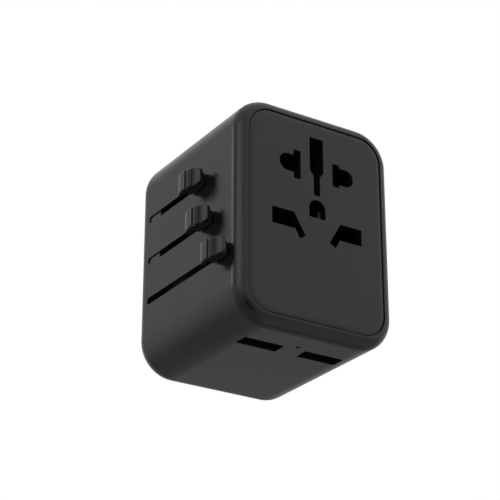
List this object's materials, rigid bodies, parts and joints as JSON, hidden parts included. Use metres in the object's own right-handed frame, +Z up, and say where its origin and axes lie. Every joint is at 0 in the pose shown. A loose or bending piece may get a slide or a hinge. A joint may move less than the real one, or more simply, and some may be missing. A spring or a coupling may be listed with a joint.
{
  "type": "universal travel adapter",
  "caption": "Pocket mains adapter: a rounded box with a multi-standard socket on the front, side sliders that push plug pins out of the back, and charging ports underneath.",
  "frame": {"origin": "centre of the flat underside, the face with the USB ports", "axes": "+Z up, from the USB face to the opposite end; +Y out of the plug face, into the wall; -Y out of the socket face; -X is the slider side"},
  "size_m": [0.0546, 0.0538, 0.0655],
  "materials": {
    "case": "fine matte black moulded plastic",
    "panel": "smooth satin black moulded plastic",
    "knob": "satin black",
    "inner_plastic": "matte black",
    "contact_brass": "bare stamped brass",
    "pin_nickel": "nickel plated brass",
    "screw_steel": "zinc plated",
    "shell_steel": "tin plated",
    "tongue": "black nylon",
    "light_pipe": "clear polycarbonate",
    "board_green": "solder mask",
    "ferrite": "ground ferrite",
    "coil_tape": "polyester tape",
    "can": "sleeved can",
    "chip": "epoxy",
    "fuse_glass": "clear"
  },
  "bodies": {
    "case": {"case_sleeve": "case", "socket_panel": "panel", "rear_cover": "panel", "case_screws": "screw_steel", "socket_block": "inner_plastic", "neutral_contact": "contact_brass", "live_contact": "contact_brass", "earth_contact": "pin_nickel", "neutral_bus_bar": "contact_brass", "live_bus_bar": "contact_brass", "fuse_tube": "fuse_glass", "fuse_clips": "contact_brass", "slot_rail": "case", "guide_rods": "screw_steel", "usb_board": "board_green", "usb_shell_left": "shell_steel", "usb_shell_right": "shell_steel", "usb_tongue_left": "tongue", "usb_tongue_right": "tongue", "light_pipe": "light_pipe", "transformer_core": "ferrite", "transformer_coil": "coil_tape", "input_capacitor": "can", "output_capacitor": "can", "controller_chip": "chip"},
    "us_au_slider": {"us_au_knob": "knob", "us_au_carrier": "inner_plastic"},
    "left_blade": {"blade_turret_left": "inner_plastic", "flat_blade_left": "pin_nickel"},
    "right_blade": {"blade_turret_right": "inner_plastic", "flat_blade_right": "pin_nickel"},
    "eu_slider": {"eu_knob": "knob", "eu_carrier": "inner_plastic", "round_pin_left": "pin_nickel", "round_pin_right": "pin_nickel", "pin_sleeve_left": "inner_plastic", "pin_sleeve_right": "inner_plastic"},
    "uk_slider": {"uk_knob": "knob", "uk_carrier": "inner_plastic", "uk_pin_left": "pin_nickel", "uk_pin_right": "pin_nickel", "uk_earth_pin": "inner_plastic"}
  },
  "joints": [
    {"name": "us_au_slide", "type": "slide", "parent": "case", "child": "us_au_slider", "axis": [0, 1, 0], "range_m": [0, 0.02005]},
    {"name": "left_blade_twist", "type": "hinge", "parent": "us_au_slider", "child": "left_blade", "pos_m": [-0.00635, -0.00395, 0.0455], "axis": [0, 1, 0], "range_deg": [-30, 30]},
    {"name": "right_blade_twist", "type": "hinge", "parent": "us_au_slider", "child": "right_blade", "pos_m": [0.00635, -0.00395, 0.0455], "axis": [0, 1, 0], "range_deg": [-30, 30]},
    {"name": "eu_slide", "type": "slide", "parent": "case", "child": "eu_slider", "axis": [0, 1, 0], "range_m": [0, 0.022]},
    {"name": "uk_slide", "type": "slide", "parent": "case", "child": "uk_slider", "axis": [0, 1, 0], "range_m": [0, 0.026]}
  ]
}
